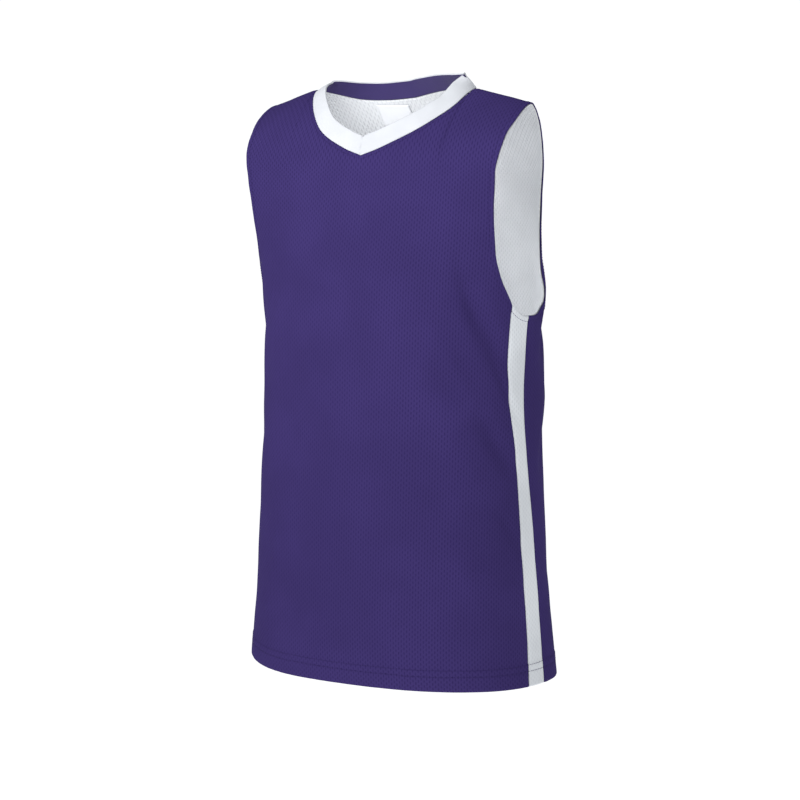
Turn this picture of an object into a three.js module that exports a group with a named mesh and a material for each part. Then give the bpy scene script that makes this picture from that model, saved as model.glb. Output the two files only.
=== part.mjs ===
// Reversible V-neck basketball jersey in two layers, filled out with no wearer.
// Millimetres, +Z up. The front faces -Y and the wearer's left arm is on +X.
// The origin lies midway between the shoulders, at the height where they carry the straps.
import * as THREE from 'three';

// Walls, from the outer face inwards
const OUTER_WALL = [0, -1];
const INNER_WALL = [-1.7, -2.7];
const LABEL_WALL = [-3.4, -4.2];
const SEAM_GAP = 0.45;
const BAND_GAP = 1;

// Shoulders: the seam runs from the neck point down to the tip of the strap
const NECK_POINT = { x: 103, y: -10.3, z: 8.2 };
const STRAP_TIP = { x: 166, y: -3.2, z: -8.5 };
const NECK_ROUNDING = 60;
const NECK_SWAY = 4;
const CHEST_TOP = -81;
const SHOULDER_FULLNESS = 1.55;
const SHOULDER_REACH = 60;
const SHOULDER_TOP = CHEST_TOP + (SHOULDER_REACH * Math.PI) / 2;

// Sections of the body, from the hem up: half widths, and Y of the front, the sides and the back
const SECTION_FULLNESS = 2.3;
const HEM_HEIGHT = -622;
const HEM_LIFT = 14;
const HEM_LIFT_SPREAD = 6;
const BODY = [
  { height: HEM_HEIGHT, frontWidth: 178, backWidth: 178, front: -114, side: 4, back: 121 },
  { height: -587, frontWidth: 174, backWidth: 174, front: -117, side: 4, back: 121.5 },
  { height: -540, frontWidth: 169, backWidth: 169, front: -117.5, side: 4, back: 120.5 },
  { height: -435, frontWidth: 162.5, backWidth: 162.5, front: -115, side: 3, back: 116.5 },
  { height: -327, frontWidth: 160.5, backWidth: 160.5, front: -110, side: 5, back: 119 },
  { height: -252, frontWidth: 160.5, backWidth: 160.5, front: -107, side: 5, back: 117 },
  { height: -220, frontWidth: 162, backWidth: 161.5, front: -104.5, side: 3, back: 113 },
  { height: -186, frontWidth: 166, backWidth: 161.5, front: -101, side: 0, back: 108 },
  { height: -146, frontWidth: 180, backWidth: 161.5, front: -93, side: 0, back: 101 },
  { height: -111, frontWidth: 204, backWidth: 164, front: -86, side: 0, back: 93 },
  { height: CHEST_TOP, frontWidth: 238, backWidth: 169, front: -79.5, side: 0, back: 84 },
  { height: -40, frontWidth: 262, backWidth: 176, front: -80, side: 0, back: 74 },
  { height: SHOULDER_TOP, frontWidth: 252, backWidth: 182, front: -71, side: 0, back: 66 },
];

// Side panels: Y of the seam to the front and of the seam to the back
const SIDE_SEAMS = [
  { height: HEM_HEIGHT, toFront: -20, toBack: 8 },
  { height: -560, toFront: -14.5, toBack: 12.5 },
  { height: -478, toFront: -15.5, toBack: 10.5 },
  { height: -381, toFront: -20, toBack: 0 },
  { height: -327, toFront: -28, toBack: -6 },
  { height: -266, toFront: -29.5, toBack: -2 },
  { height: -218, toFront: -28, toBack: 3 },
];

// Armhole: its two legs below the tip of the strap, and its bottom between them
const FRONT_LEG = [
  { x: 165.3, z: -26 },
  { x: 162.4, z: -46 },
  { x: 157.8, z: -81 },
  { x: 155.2, z: -111 },
  { x: 152.9, z: -146 },
  { x: 152.3, z: -170 },
  { x: 154.4, z: -194 },
];
const FRONT_CORNER = -218;
const ARMHOLE_BOTTOM = -231;
const ARMHOLE_SAG = 3.5;
const BACK_UNDERARM = [
  { turn: 95.5, height: -230.5 },
  { turn: 101, height: -225 },
];
const BACK_LEG = [
  { x: 155.6, z: -212 },
  { x: 155.2, z: -190 },
  { x: 154.8, z: -146 },
  { x: 157, z: -81 },
  { x: 162, z: -46 },
  { x: 164, z: -29 },
];

// Neckline of the panels, from the middle to the neck point: its heights at the wearer's left and
// right, and how many degrees the collar stands up off the panels there. The jersey sits a little
// higher on one side of the neck.
const FRONT_NECK = [
  { x: 0, left: -63, right: -63, leftStand: 0, rightStand: 0 },
  { x: 24, left: -54.5, right: -55, leftStand: 1, rightStand: 1 },
  { x: 59, left: -38, right: -38, leftStand: 4, rightStand: 2 },
  { x: 82, left: -22.5, right: -17.5, leftStand: 7, rightStand: 11 },
  { x: 96, left: -8.5, right: -1.5, leftStand: 9, rightStand: 15 },
  { x: NECK_POINT.x, left: NECK_POINT.z, right: NECK_POINT.z, leftStand: 30, rightStand: 8 },
];
const BACK_NECK = [
  { x: 0, left: 0.5, right: 0.5, leftStand: 20, rightStand: 20 },
  { x: 40, left: 7, right: -2, leftStand: 14, rightStand: 20 },
  { x: 70, left: 8.8, right: -1.5, leftStand: 13, rightStand: 21 },
  { x: 92, left: 8.6, right: 4.5, leftStand: 21, rightStand: 12 },
  { x: NECK_POINT.x, left: NECK_POINT.z, right: NECK_POINT.z, leftStand: 30, rightStand: 8 },
];

// Collar band: its width and the length of its mitre
const BAND_WIDTH = 20;
const MITRE_REACH = 24;

// Neck label on the inside of the back, beside the middle as in the photo
const LABEL = { width: 42, middle: -34, top: -6, bottom: -36 };

// Largest folds: soft troughs from one place to another. A turn is in degrees from the middle
// of the front, towards the wearer's left; a height is as in the sections.
const FOLDS = [
  { turn: 44, height: -186, toTurn: 78, toHeight: -302, width: 15, depth: 6 },
  { turn: 54, height: -322, toTurn: 80, toHeight: -400, width: 13, depth: 4.5 },
  { turn: 30, height: -384, toTurn: 46, toHeight: -440, width: 15, depth: 2 },
  { turn: -48, height: -205, toTurn: -72, toHeight: -290, width: 15, depth: 3.5 },
  { turn: -52, height: -345, toTurn: -76, toHeight: -425, width: 14, depth: 2.5 },
  { turn: 128, height: -196, toTurn: 100, toHeight: -296, width: 16, depth: 5.5 },
  { turn: 122, height: -330, toTurn: 100, toHeight: -412, width: 14, depth: 4 },
  { turn: -132, height: -210, toTurn: -104, toHeight: -318, width: 16, depth: 5 },
  { turn: -126, height: -352, toTurn: -102, toHeight: -430, width: 14, depth: 3.5 },
];
const MM_PER_DEGREE = 2.6;

// Grid of the panels
const ROWS_BELOW_ARM = 12;
const ROWS_ALONG_ARMHOLE = 11;
const NECK_COLUMNS = 8;
const STRAP_COLUMNS = 4;
const SIDE_COLUMNS = 4;
const SAG_ROWS = 3;
const LEAN_START = 0.55;
const BAND_ROWS = 3;
const LABEL_CELLS = 4;

const PURPLE = 0x43386f;
const WHITE = 0xe6e9f0;
const INNER_WHITE = 0xd2d5da;

const toRadians = THREE.MathUtils.degToRad;
const mix = THREE.MathUtils.lerp;
const smooth = (value) => THREE.MathUtils.smoothstep(value, 0, 1);

// Reads one column of a table along a smooth curve through its rows.
function read(table, key, column, at) {
  const last = table.length - 1;
  const direction = Math.sign(table[last][key] - table[0][key]);
  let row = 0;
  while (row < last - 1 && (at - table[row + 1][key]) * direction > 0) row += 1;
  const slope = (i) => {
    const before = table[Math.max(i - 1, 0)];
    const after = table[Math.min(i + 1, last)];
    return (after[column] - before[column]) / (after[key] - before[key]);
  };
  const [low, high] = [table[row], table[row + 1]];
  const span = high[key] - low[key];
  const f = THREE.MathUtils.clamp((at - low[key]) / span, 0, 1);
  const f2 = f * f;
  const f3 = f2 * f;
  return (2 * f3 - 3 * f2 + 1) * low[column] + (f3 - 2 * f2 + f) * span * slope(row)
    + (3 * f2 - 2 * f3) * high[column] + (f3 - f2) * span * slope(row + 1);
}

// The shoulder ridge above a half width: straight through the neck point and the strap's tip,
// and rounded over the middle of the neck.
function ridge(x) {
  const aside = Math.abs(x);
  const reach = aside < NECK_ROUNDING ? (x * x + NECK_ROUNDING ** 2) / (2 * NECK_ROUNDING) : aside;
  const f = (reach - NECK_POINT.x) / (STRAP_TIP.x - NECK_POINT.x);
  return {
    y: mix(NECK_POINT.y, STRAP_TIP.y, smooth(f)),
    z: mix(NECK_POINT.z, STRAP_TIP.z, f),
  };
}

// How far the cloth at the wearer's right of the neck sits towards the left.
function neckSway(x, height) {
  const aside = THREE.MathUtils.clamp(-x / STRAP_TIP.x, 0, 1);
  return NECK_SWAY * Math.sin(Math.PI * aside) * smooth((height - CHEST_TOP) / SHOULDER_REACH);
}

// Point of the plain body at a turn and a height. Above the chest the height runs on over
// the shoulder, and the sections close towards the ridge.
function plainPoint(turn, height) {
  const sine = Math.sin(turn);
  const cosine = Math.cos(turn);
  const facesFront = cosine >= 0;
  const h = Math.min(height, SHOULDER_TOP);
  const width = read(BODY, 'height', facesFront ? 'frontWidth' : 'backWidth', h);
  const side = read(BODY, 'height', 'side', h);
  const face = read(BODY, 'height', facesFront ? 'front' : 'back', h);
  const plainX = Math.sign(sine) * width * Math.abs(sine) ** (2 / SECTION_FULLNESS);
  const x = plainX + neckSway(plainX, h);
  const y = side + (face - side) * Math.abs(cosine) ** (2 / SECTION_FULLNESS);
  if (h <= CHEST_TOP) {
    const towardsHem = (CHEST_TOP - h) / (CHEST_TOP - HEM_HEIGHT);
    const lift = HEM_LIFT * Math.max(0, -sine) ** HEM_LIFT_SPREAD * towardsHem;
    return new THREE.Vector3(x, y, h + lift);
  }
  const rise = (h - CHEST_TOP) / SHOULDER_REACH;
  const top = ridge(plainX);
  const up = Math.max(Math.sin(rise), 0) ** (2 / SHOULDER_FULLNESS);
  const out = Math.max(Math.cos(rise), 0) ** (2 / SHOULDER_FULLNESS);
  return new THREE.Vector3(x, mix(top.y, y, out), mix(CHEST_TOP, top.z, up));
}

// Outward normal of a surface given as a function of turn and height.
function normalOf(surface, turn, height) {
  const turnStep = 0.004;
  const heightStep = 0.5;
  const across = surface(turn + turnStep, height).sub(surface(turn - turnStep, height));
  const up = surface(turn, height + heightStep).sub(surface(turn, height - heightStep));
  return across.cross(up).normalize();
}

// How far the folds push the cloth in at a place: soft troughs that fade at both ends.
function foldDepth(turn, height) {
  let depth = 0;
  for (const fold of FOLDS) {
    const run = new THREE.Vector2((fold.toTurn - fold.turn) * MM_PER_DEGREE, fold.toHeight - fold.height);
    const place = new THREE.Vector2(
      (THREE.MathUtils.radToDeg(turn) - fold.turn) * MM_PER_DEGREE,
      height - fold.height,
    );
    const along = place.dot(run) / run.lengthSq();
    const aside = place.cross(run) / run.length();
    const fade = along > 0 && along < 1 ? Math.sin(Math.PI * along) : 0;
    depth += fold.depth * fade * Math.exp(-((aside / fold.width) ** 2));
  }
  return depth;
}

// Point of the cloth's outer face, folds included.
function clothPoint(turn, height) {
  const depth = foldDepth(turn, height);
  const point = plainPoint(turn, height);
  return depth > 0.01 ? point.addScaledVector(normalOf(plainPoint, turn, height), -depth) : point;
}

function clothPlace(turn, height) {
  return { point: clothPoint(turn, height), normal: normalOf(clothPoint, turn, height) };
}

// Turn and height of a place given by its half width and its height above the origin.
function placeOf(x, z, facesFront) {
  const share = THREE.MathUtils.clamp((z - CHEST_TOP) / (ridge(x).z - CHEST_TOP), 0, 1);
  const rise = Math.asin(share ** (SHOULDER_FULLNESS / 2));
  const height = z <= CHEST_TOP ? z : CHEST_TOP + SHOULDER_REACH * rise;
  const width = read(BODY, 'height', facesFront ? 'frontWidth' : 'backWidth', height);
  const turn = Math.asin(Math.min(1, (x / width) ** (SECTION_FULLNESS / 2)));
  return new THREE.Vector2(facesFront ? turn : Math.PI - turn, height);
}

// Turn of a place on the side of the body, given by its Y.
function turnOfY(y, height) {
  const side = read(BODY, 'height', 'side', height);
  const face = read(BODY, 'height', y < side ? 'front' : 'back', height);
  const angle = Math.acos(Math.abs((y - side) / (face - side)) ** (SECTION_FULLNESS / 2));
  return y < side ? angle : Math.PI - angle;
}

function sideSeam(column, height) {
  return new THREE.Vector2(turnOfY(read(SIDE_SEAMS, 'height', column, height), height), height);
}

// Even steps along a smooth curve through places.
function stepsAlong(places, count) {
  const flat = places.map((p) => new THREE.Vector2(THREE.MathUtils.radToDeg(p.x) * MM_PER_DEGREE, p.y));
  const curve = new THREE.SplineCurve(flat);
  return curve.getSpacedPoints(count).map((p) => new THREE.Vector2(toRadians(p.x / MM_PER_DEGREE), p.y));
}

// Distances from the first place along the rest.
function distancesAlong(places) {
  let total = 0;
  return places.map((place, i) => {
    const before = places[Math.max(i - 1, 0)];
    const turned = THREE.MathUtils.radToDeg(place.x - before.x) * MM_PER_DEGREE;
    total += Math.hypot(turned, place.y - before.y);
    return total;
  });
}

// The edge of a front or back panel at the wearer's left: up the side seam, then the armhole.
function panelSide(facesFront) {
  const corner = facesFront ? FRONT_CORNER : ARMHOLE_BOTTOM;
  const column = facesFront ? 'toFront' : 'toBack';
  const seam = Array.from({ length: ROWS_BELOW_ARM }, (_, row) => {
    const f = row / ROWS_BELOW_ARM;
    return sideSeam(column, mix(HEM_HEIGHT, corner, f));
  });
  const leg = (facesFront ? FRONT_LEG.toReversed() : BACK_LEG).map((p) => placeOf(p.x, p.z, facesFront));
  const tip = placeOf(STRAP_TIP.x, STRAP_TIP.z, facesFront);
  const bottom = facesFront ? [] : BACK_UNDERARM.map((p) => new THREE.Vector2(toRadians(p.turn), p.height));
  const armhole = stepsAlong([sideSeam(column, corner), ...bottom, ...leg, tip], ROWS_ALONG_ARMHOLE);
  return [...seam, ...armhole];
}

// The top edge of half a panel: the neckline from the middle, then the shoulder seam.
function panelTop(facesFront, half) {
  const rows = facesFront ? FRONT_NECK : BACK_NECK;
  const neck = Array.from({ length: NECK_COLUMNS + 1 }, (_, column) => {
    const x = (NECK_POINT.x * column) / NECK_COLUMNS;
    return placeOf(x, read(rows, 'x', half, x), facesFront);
  });
  for (let column = 1; column <= STRAP_COLUMNS; column += 1) {
    const x = mix(NECK_POINT.x, STRAP_TIP.x, column / STRAP_COLUMNS);
    neck.push(placeOf(x, ridge(x).z, facesFront));
  }
  return neck;
}

// Half a panel as rows of places, filled in between its four edges.
function halfPanel(facesFront, half) {
  const side = panelSide(facesFront);
  const top = panelTop(facesFront, half);
  const lastRow = side.length - 1;
  const lastColumn = top.length - 1;
  const middleTurn = facesFront ? 0 : Math.PI;
  const middleTop = top[0].y;
  const rows = [];
  const climb = distancesAlong(side);
  for (let row = 0; row <= lastRow; row += 1) {
    const up = climb[row] / climb[lastRow];
    const leanShare = smooth((up - LEAN_START) / (1 - LEAN_START));
    const middle = new THREE.Vector2(middleTurn, mix(HEM_HEIGHT, middleTop, up));
    const places = [];
    for (let column = 0; column <= lastColumn; column += 1) {
      const f = column / lastColumn;
      const topLine = top[0].clone().lerp(top[lastColumn], f);
      const lean = top[column].clone().sub(topLine).multiplyScalar(leanShare);
      places.push(middle.clone().lerp(side[row], f).add(lean));
    }
    rows.push(places);
  }
  return rows;
}

// A whole panel: its two halves mirror each other but for the neckline, and folds differ by place.
function wholePanel(facesFront) {
  const rightHalf = halfPanel(facesFront, 'right');
  return halfPanel(facesFront, 'left').map((places, row) => {
    const left = places.map((p) => clothPlace(p.x, p.y));
    const right = rightHalf[row].slice(1).map((p) => clothPlace(-p.x, p.y));
    return facesFront ? [...right.reverse(), ...left] : [...left.reverse(), ...right];
  });
}

// A side panel: rows of places from the seam to the front, round the side.
function sidePanel(towardsLeft) {
  const front = panelSide(true);
  const back = panelSide(false);
  const rows = [];
  for (let row = 0; row <= ROWS_BELOW_ARM; row += 1) {
    const places = [];
    const sag = ARMHOLE_SAG * smooth(1 - (ROWS_BELOW_ARM - row) / SAG_ROWS);
    for (let column = 0; column <= SIDE_COLUMNS; column += 1) {
      const share = column / SIDE_COLUMNS;
      const p = front[row].clone().lerp(back[row], share);
      p.y -= 4 * sag * share * (1 - share);
      places.push(clothPlace(towardsLeft ? p.x : -p.x, p.y));
    }
    rows.push(towardsLeft ? places : places.reverse());
  }
  return rows;
}

// Pulls the first or last places of every row in along the cloth, to leave room at a seam.
function trimEnds(rows, gap) {
  for (const places of rows) {
    const last = places.length - 1;
    for (const [end, next] of [[0, 1], [last, last - 1]]) {
      places[end] = pulled(places[end], places[next], gap);
    }
  }
  return rows;
}

function trimTop(rows, gap) {
  const last = rows.length - 1;
  rows[last] = rows[last].map((place, column) => pulled(place, rows[last - 1][column], gap));
  return rows;
}

function pulled(place, towards, gap) {
  const way = towards.point.clone().sub(place.point).normalize();
  return { point: place.point.clone().addScaledVector(way, gap), normal: place.normal.clone() };
}

// A sheet lists its places once and its cells by four places each, in turn as seen from outside.
function sheetOf(rows, closed = false) {
  const sheet = { places: rows.flat(), cells: [] };
  const width = rows[0].length;
  const lastColumn = closed ? width : width - 1;
  for (let row = 0; row < rows.length - 1; row += 1) {
    for (let column = 0; column < lastColumn; column += 1) {
      const next = (column + 1) % width;
      const low = row * width;
      const high = low + width;
      sheet.cells.push([low + column, low + next, high + next, high + column]);
    }
  }
  return sheet;
}

// Joins sheets that share edges into one, by merging places that coincide.
function joined(sheets) {
  const whole = { places: [], cells: [] };
  const seen = new Map();
  for (const sheet of sheets) {
    const index = sheet.places.map((place) => {
      const key = place.point.toArray().map((value) => Math.round(value * 100)).join(' ');
      if (!seen.has(key)) {
        seen.set(key, whole.places.length);
        whole.places.push(place);
      }
      return seen.get(key);
    });
    whole.cells.push(...sheet.cells.map((cell) => cell.map((i) => index[i])));
  }
  return whole;
}

// A cell is split along its shorter diagonal.
function halves(places, a, b, c, d) {
  const one = places[a].point.distanceTo(places[c].point);
  const other = places[b].point.distanceTo(places[d].point);
  return one <= other ? [[a, b, c], [a, c, d]] : [[a, b, d], [b, c, d]];
}

// A closed wall between two offsets from a sheet, with a rim along each free edge.
function wall(sheet, [outer, inner]) {
  const count = sheet.places.length;
  const positions = [];
  for (const offset of [outer, inner]) {
    for (const { point, normal } of sheet.places) {
      positions.push(...point.clone().addScaledVector(normal, offset).toArray());
    }
  }
  const free = new Map();
  const faces = [];
  for (const [a, b, c, d] of sheet.cells) {
    for (const [i, j, k] of halves(sheet.places, a, b, c, d)) {
      faces.push(i, j, k);
      faces.push(count + i, count + k, count + j);
    }
    for (const [from, to] of [[a, b], [b, c], [c, d], [d, a]]) {
      if (!free.delete(`${to} ${from}`)) free.set(`${from} ${to}`, [from, to]);
    }
  }
  for (const [from, to] of free.values()) {
    faces.push(to, from, count + from, to, count + from, count + to);
  }
  const geometry = new THREE.BufferGeometry();
  geometry.setAttribute('position', new THREE.Float32BufferAttribute(positions, 3));
  geometry.setIndex(faces);
  geometry.computeVertexNormals();
  return geometry;
}

// The neck seam of half a panel, from the middle: its places, and the collar's stand at each.
function neckHalf(facesFront, half) {
  const side = half === 'left' ? 1 : -1;
  return panelTop(facesFront, half).slice(0, NECK_COLUMNS + 1).map((p, column) => {
    const x = (NECK_POINT.x * column) / NECK_COLUMNS;
    const stand = read(facesFront ? FRONT_NECK : BACK_NECK, 'x', `${half}Stand`, x);
    return { ...clothPlace(side * p.x, p.y), stand };
  });
}

// The neck seam all round: from the middle of the front up its left side, and back up the right.
function neckLoop() {
  return [
    ...neckHalf(true, 'left'),
    ...neckHalf(false, 'left').slice(0, NECK_COLUMNS).toReversed(),
    ...neckHalf(false, 'right').slice(1, NECK_COLUMNS),
    ...neckHalf(true, 'right').slice(1).toReversed(),
  ];
}

// The collar band: it follows the neck seam, flat on the chest at the point of the V and
// standing up off the panels round the back of the neck.
function collarRows() {
  const seam = neckLoop();
  const rows = Array.from({ length: BAND_ROWS + 1 }, () => []);
  seam.forEach(({ point, normal, stand }, i) => {
    const before = seam[(i + seam.length - 1) % seam.length].point;
    const after = seam[(i + 1) % seam.length].point;
    const along = after.clone().sub(before).normalize();
    const flatWay = normal.clone().cross(along).normalize();
    const way = flatWay.clone().applyAxisAngle(along, toRadians(stand));
    const face = along.clone().cross(way).normalize();
    const mitred = way.clone();
    mitred.x *= smooth(Math.abs(point.x) / MITRE_REACH);
    const reach = 1 / mitred.dot(way);
    rows.forEach((row, step) => {
      const width = mix(BAND_GAP, BAND_WIDTH, step / BAND_ROWS);
      row.push({ point: point.clone().addScaledVector(mitred, width * reach), normal: face });
    });
  });
  return rows;
}

// A place on a grid of places, by its fractional row and column.
function between(rows, row, column) {
  const [r, c] = [Math.floor(row), Math.floor(column)];
  const low = blend(rows[r][c], rows[r][c + 1], column - c);
  const high = blend(rows[r + 1][c], rows[r + 1][c + 1], column - c);
  return blend(low, high, row - r);
}

function blend(one, other, share) {
  return {
    point: one.point.clone().lerp(other.point, share),
    normal: one.normal.clone().lerp(other.normal, share).normalize(),
  };
}

// The fractional index at which a falling or rising list of numbers passes a value.
function crossing(values, value) {
  const i = values.findIndex((v, k) => k > 0 && (v - value) * (values[k - 1] - value) <= 0);
  return i - (values[i] - value) / (values[i] - values[i - 1]);
}

// The label lies on the back's own grid, so that it follows every bend of it.
function labelRows() {
  const panel = wholePanel(false);
  const middle = (panel[0].length - 1) / 2;
  const heights = panel.map((places) => places[middle].point.z);
  const rows = [];
  for (let row = 0; row <= LABEL_CELLS; row += 1) {
    const up = crossing(heights, mix(LABEL.bottom, LABEL.top, row / LABEL_CELLS));
    const across = panel[Math.round(up)].map((place) => place.point.x);
    rows.push(Array.from({ length: LABEL_CELLS + 1 }, (_, column) => {
      const x = LABEL.middle + LABEL.width * (0.5 - column / LABEL_CELLS);
      return between(panel, up, crossing(across, x));
    }));
  }
  return rows;
}

function cloth(name, geometry, color) {
  const material = new THREE.MeshStandardMaterial({ color, roughness: 0.85, metalness: 0 });
  const mesh = new THREE.Mesh(geometry, material);
  mesh.name = name;
  return mesh;
}

function outerPanel(rows) {
  return wall(sheetOf(trimTop(trimEnds(rows, SEAM_GAP / 2), SEAM_GAP / 2)), OUTER_WALL);
}

// An inner panel covers its outer panel and half of each side panel, so that the two inner
// panels meet under the arms.
function innerPanel(facesFront) {
  const panel = trimTop(wholePanel(facesFront), SEAM_GAP);
  const half = SIDE_COLUMNS / 2;
  const strips = [true, false].map((towardsLeft) => {
    const nearStart = facesFront === towardsLeft;
    return sidePanel(towardsLeft).map((places) => {
      const part = nearStart ? places.slice(0, half + 1) : places.slice(half);
      const [end, next] = nearStart ? [half, half - 1] : [0, 1];
      part[end] = pulled(part[end], part[next], SEAM_GAP);
      return part;
    });
  });
  return wall(joined([panel, ...strips].map((rows) => sheetOf(rows))), INNER_WALL);
}

const jersey = new THREE.Group();
jersey.add(
  cloth('front', outerPanel(wholePanel(true)), PURPLE),
  cloth('back', outerPanel(wholePanel(false)), PURPLE),
  cloth('side_left', wall(sheetOf(trimEnds(sidePanel(true), SEAM_GAP / 2)), OUTER_WALL), WHITE),
  cloth('side_right', wall(sheetOf(trimEnds(sidePanel(false), SEAM_GAP / 2)), OUTER_WALL), WHITE),
  cloth('collar', wall(sheetOf(collarRows(), true), OUTER_WALL), WHITE),
  cloth('lining_front', innerPanel(true), INNER_WHITE),
  cloth('lining_back', innerPanel(false), INNER_WHITE),
  cloth('collar_lining', wall(sheetOf(collarRows(), true), INNER_WALL), PURPLE),
  cloth('label', wall(sheetOf(labelRows()), LABEL_WALL), WHITE),
);

export default jersey;
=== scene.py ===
"""Looks of a reversible V-neck basketball jersey in two mesh layers, filled out with no wearer."""
import functools
import math

import bpy
import numpy as np
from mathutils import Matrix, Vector, noise
from mathutils.bvhtree import BVHTree
from mathutils.kdtree import KDTree


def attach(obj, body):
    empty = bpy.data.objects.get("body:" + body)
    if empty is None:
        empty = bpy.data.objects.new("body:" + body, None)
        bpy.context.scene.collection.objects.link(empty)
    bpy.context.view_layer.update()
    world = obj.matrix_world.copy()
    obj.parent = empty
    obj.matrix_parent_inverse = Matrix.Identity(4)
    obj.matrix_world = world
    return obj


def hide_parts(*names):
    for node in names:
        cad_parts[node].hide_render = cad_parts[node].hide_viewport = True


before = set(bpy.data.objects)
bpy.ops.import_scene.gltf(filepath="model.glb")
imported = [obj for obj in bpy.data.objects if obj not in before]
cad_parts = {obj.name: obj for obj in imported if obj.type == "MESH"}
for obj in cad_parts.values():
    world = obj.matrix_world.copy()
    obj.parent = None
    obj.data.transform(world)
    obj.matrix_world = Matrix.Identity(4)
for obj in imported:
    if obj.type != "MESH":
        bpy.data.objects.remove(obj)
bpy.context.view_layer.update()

# Sizes are in millimetres up to the making of each mesh, which holds metres.
METRES = 0.001


def table(columns, *rows):
    """A short table with named columns."""
    return dict(zip(columns.split(), np.array(rows, float).T))


# Walls: how far out each layer's outer face lies, and their thicknesses
OUTER_FACE = 0.0
INNER_FACE = -1.7
LABEL_FACE = -3.3
CLOTH_THICKNESS = 0.9
BAND_THICKNESS = 1.5
LABEL_THICKNESS = 0.4
SEAM_GAP = 0.12

# Shoulders
NECK_POINT = (103.0, -10.3, 8.2)
STRAP_TIP = (166.0, -3.2, -8.5)
NECK_ROUNDING = 60.0
NECK_SWAY = 4.0
CHEST_TOP = -81.0
SHOULDER_FULLNESS = 1.55
SHOULDER_REACH = 60.0
SHOULDER_TOP = CHEST_TOP + SHOULDER_REACH * math.pi / 2

# Sections of the body, from the hem up
SECTION_FULLNESS = 2.3
HEM_HEIGHT = -622.0
HEM_LIFT = 14.0
HEM_LIFT_SPREAD = 6
BODY = table(
    "height front_width back_width front side back",
    (HEM_HEIGHT, 178, 178, -114, 4, 121),
    (-587, 174, 174, -117, 4, 121.5),
    (-540, 169, 169, -117.5, 4, 120.5),
    (-435, 162.5, 162.5, -115, 3, 116.5),
    (-327, 160.5, 160.5, -110, 5, 119),
    (-252, 160.5, 160.5, -107, 5, 117),
    (-220, 162, 161.5, -104.5, 3, 113),
    (-186, 166, 161.5, -101, 0, 108),
    (-146, 180, 161.5, -93, 0, 101),
    (-111, 204, 164, -86, 0, 93),
    (CHEST_TOP, 238, 169, -79.5, 0, 84),
    (-40, 262, 176, -80, 0, 74),
    (SHOULDER_TOP, 252, 182, -71, 0, 66),
)

# Side panels: Y of the seam to the front and of the seam to the back
SIDE_SEAMS = table(
    "height to_front to_back",
    (HEM_HEIGHT, -20, 8),
    (-560, -14.5, 12.5),
    (-478, -15.5, 10.5),
    (-381, -20, 0),
    (-327, -28, -6),
    (-266, -29.5, -2),
    (-218, -28, 3),
)

# Armhole: its two legs below the tip of the strap, and its bottom between them
FRONT_LEG = table(
    "x z",
    (165.3, -26),
    (162.4, -46),
    (157.8, -81),
    (155.2, -111),
    (152.9, -146),
    (152.3, -170),
    (154.4, -194),
)
BACK_LEG = table(
    "x z",
    (155.6, -212),
    (155.2, -190),
    (154.8, -146),
    (157, -81),
    (162, -46),
    (164, -29),
)
BACK_UNDERARM = table("turn height", (95.5, -230.5), (101, -225))
FRONT_CORNER = -218.0
ARMHOLE_BOTTOM = -231.0
ARMHOLE_SAG = 3.5
SAG_SHARE = 0.25

# Neckline of the panels, from the middle to the neck point: its heights at the wearer's left and
# right, and how many degrees the collar stands up off the panels there. The jersey sits a little
# higher on one side of the neck.
FRONT_NECK = table(
    "x left right left_stand right_stand",
    (0, -63, -63, 0, 0),
    (24, -54.5, -55, 1, 1),
    (59, -38, -38, 4, 2),
    (82, -22.5, -17.5, 7, 11),
    (96, -8.5, -1.5, 9, 15),
    (NECK_POINT[0], NECK_POINT[2], NECK_POINT[2], 30, 8),
)
BACK_NECK = table(
    "x left right left_stand right_stand",
    (0, 0.5, 0.5, 20, 20),
    (40, 7, -2, 14, 20),
    (70, 8.8, -1.5, 13, 21),
    (92, 8.6, 4.5, 21, 12),
    (NECK_POINT[0], NECK_POINT[2], NECK_POINT[2], 30, 8),
)

# Collar band: a soft crown over its width, a mitre at the V and a slight wave at its free edge
BAND_WIDTH = 20.0
INNER_BAND_SHORT = 0.8
BAND_CROWN = 0.7
CROWN_FULLNESS = 0.6
CROWN_SEAT = 0.8
MITRE_REACH = 24.0
MITRE_DIP = 0.3
MITRE_DIP_WIDTH = 1.4
WAVE_LENGTH = 30.0
WAVE_HEIGHT = 0.5
WAVE_OFFSET = 4.0

# Neck label on the inside of the back, sewn down over a share of its length from the top
LABEL_WIDTH = 42.0
LABEL_MIDDLE = -34.0
LABEL_TOP = -6.0
LABEL_BOTTOM = -36.0
LABEL_LIFT = 0.4
LABEL_SEWN = 2 / 7
LABEL_CELLS = 16

# Largest folds, as in the solids: soft troughs from one place to another. A turn is in degrees
# from the middle of the front towards the wearer's left.
FOLDS = table(
    "turn height to_turn to_height width depth",
    (44, -186, 78, -302, 15, 6),
    (54, -322, 80, -400, 13, 4.5),
    (30, -384, 46, -440, 15, 2),
    (-48, -205, -72, -290, 15, 3.5),
    (-52, -345, -76, -425, 14, 2.5),
    (128, -196, 100, -296, 16, 5.5),
    (122, -330, 100, -412, 14, 4),
    (-132, -210, -104, -318, 16, 5),
    (-126, -352, -102, -430, 14, 3.5),
)

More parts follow.
